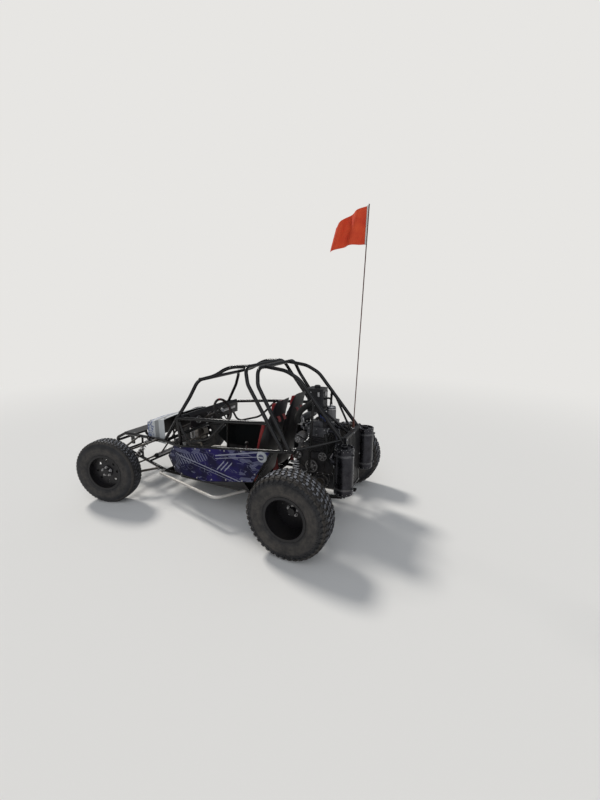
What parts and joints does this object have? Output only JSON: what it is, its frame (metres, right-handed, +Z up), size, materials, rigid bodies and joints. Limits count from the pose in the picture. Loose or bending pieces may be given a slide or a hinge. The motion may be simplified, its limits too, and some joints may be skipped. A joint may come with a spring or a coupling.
{
  "type": "two-seat tubular dune buggy",
  "caption": "Open tubular sand buggy with coped cage, two bucket seats, steered front wheels on wishbones, driven rear wheels, open engine bay and a whip flag.",
  "frame": {"origin": "on the ground under the middle of the whole length, in the middle plane", "axes": "+X to the car's left, +Y rearwards, +Z up; the front faces -Y"},
  "size_m": [2.0418, 3.384, 3.0802],
  "materials": {
    "frame_tube": "gloss",
    "brace_tube": "satin",
    "panel_paint": "gloss",
    "panel_black": "satin",
    "hood_paint": "gloss",
    "seat_cover": "matte",
    "tyre_rubber": "matte",
    "rim_steel": "satin",
    "arm_steel": "satin",
    "shock_metal": "satin",
    "cast_dark": "matte",
    "alloy": "satin",
    "exhaust_steel": "satin",
    "black_plastic": "matte",
    "grip": "matte",
    "whip_rod": "satin",
    "flag_cloth": "matte"
  },
  "bodies": {
    "chassis": {"floor_frame": "frame_tube", "hoops": "frame_tube", "screen_frame": "frame_tube", "cross_bars": "frame_tube", "roof_rails": "frame_tube", "rear_cage": "frame_tube", "nose_frame": "frame_tube", "step_bars": "brace_tube", "side_frames": "frame_tube", "side_panels": "panel_paint", "floor_pan": "panel_black", "hood": "hood_paint", "dash": "panel_black", "nose_deck": "panel_black", "seats": "seat_cover", "steering_column": "cast_dark", "pedals": "arm_steel", "rack_housing": "alloy", "lower_arms": "arm_steel", "upper_arms": "arm_steel", "front_shocks": "shock_metal", "rear_arms": "arm_steel", "rear_shocks": "shock_metal", "half_shafts": "arm_steel", "gearbox": "alloy", "engine_block": "cast_dark", "engine_head": "alloy", "tank": "black_plastic", "exhaust": "exhaust_steel", "rear_guard": "black_plastic", "whip": "whip_rod", "flag": "flag_cloth", "tow_eyes": "frame_tube"},
    "steering_wheel": {"steering_wheel": "grip"},
    "tie_rods": {"tie_rods": "arm_steel"},
    "knuckle_left": {"knuckle_left": "arm_steel"},
    "knuckle_right": {"knuckle_right": "arm_steel"},
    "wheel_front_left": {"tyre_front_left": "tyre_rubber", "rim_front_left": "rim_steel"},
    "wheel_front_right": {"tyre_front_right": "tyre_rubber", "rim_front_right": "rim_steel"},
    "wheel_rear_left": {"tyre_rear_left": "tyre_rubber", "rim_rear_left": "rim_steel"},
    "wheel_rear_right": {"tyre_rear_right": "tyre_rubber", "rim_rear_right": "rim_steel"}
  },
  "joints": [
    {"name": "steer_left", "type": "hinge", "parent": "chassis", "child": "knuckle_left", "pos_m": [0.735, -1.096, 0.37], "axis": [0, 0, 1], "range_deg": [-47.7, 16.3]},
    {"name": "steer_right", "type": "hinge", "parent": "chassis", "child": "knuckle_right", "pos_m": [-0.735, -1.096, 0.37], "axis": [0, 0, 1], "range_deg": [-47.7, 16.3]},
    {"name": "rack_slide", "type": "slide", "parent": "chassis", "child": "tie_rods", "axis": [1, 0, 0], "range_m": [-0.0335, 0.0968]},
    {"name": "steering_wheel_turn", "type": "hinge", "parent": "chassis", "child": "steering_wheel", "pos_m": [0.22, 0.114, 1.07], "axis": [0, 0.9063, 0.4226], "range_deg": [-382, 131]},
    {"name": "roll_rear_left", "type": "hinge", "parent": "chassis", "child": "wheel_rear_left", "pos_m": [0.835, 1.264, 0.3935], "axis": [1, 0, 0], "continuous": true},
    {"name": "roll_rear_right", "type": "hinge", "parent": "chassis", "child": "wheel_rear_right", "pos_m": [-0.835, 1.264, 0.3935], "axis": [1, 0, 0], "continuous": true},
    {"name": "roll_front_left", "type": "hinge", "parent": "knuckle_left", "child": "wheel_front_left", "pos_m": [0.8409, -1.06623, 0.37], "axis": [0.9627, 0.2706, 0], "continuous": true},
    {"name": "roll_front_right", "type": "hinge", "parent": "knuckle_right", "child": "wheel_front_right", "pos_m": [-0.8409, -1.12577, 0.37], "axis": [0.9627, 0.2706, 0], "continuous": true}
  ],
  "couplings": [
    {"joint": "steer_right", "follows": "steer_left", "ratio": 1},
    {"joint": "rack_slide", "follows": "steer_left", "m_per_rad": -0.11552},
    {"joint": "steering_wheel_turn", "follows": "steer_left", "ratio": 8}
  ]
}
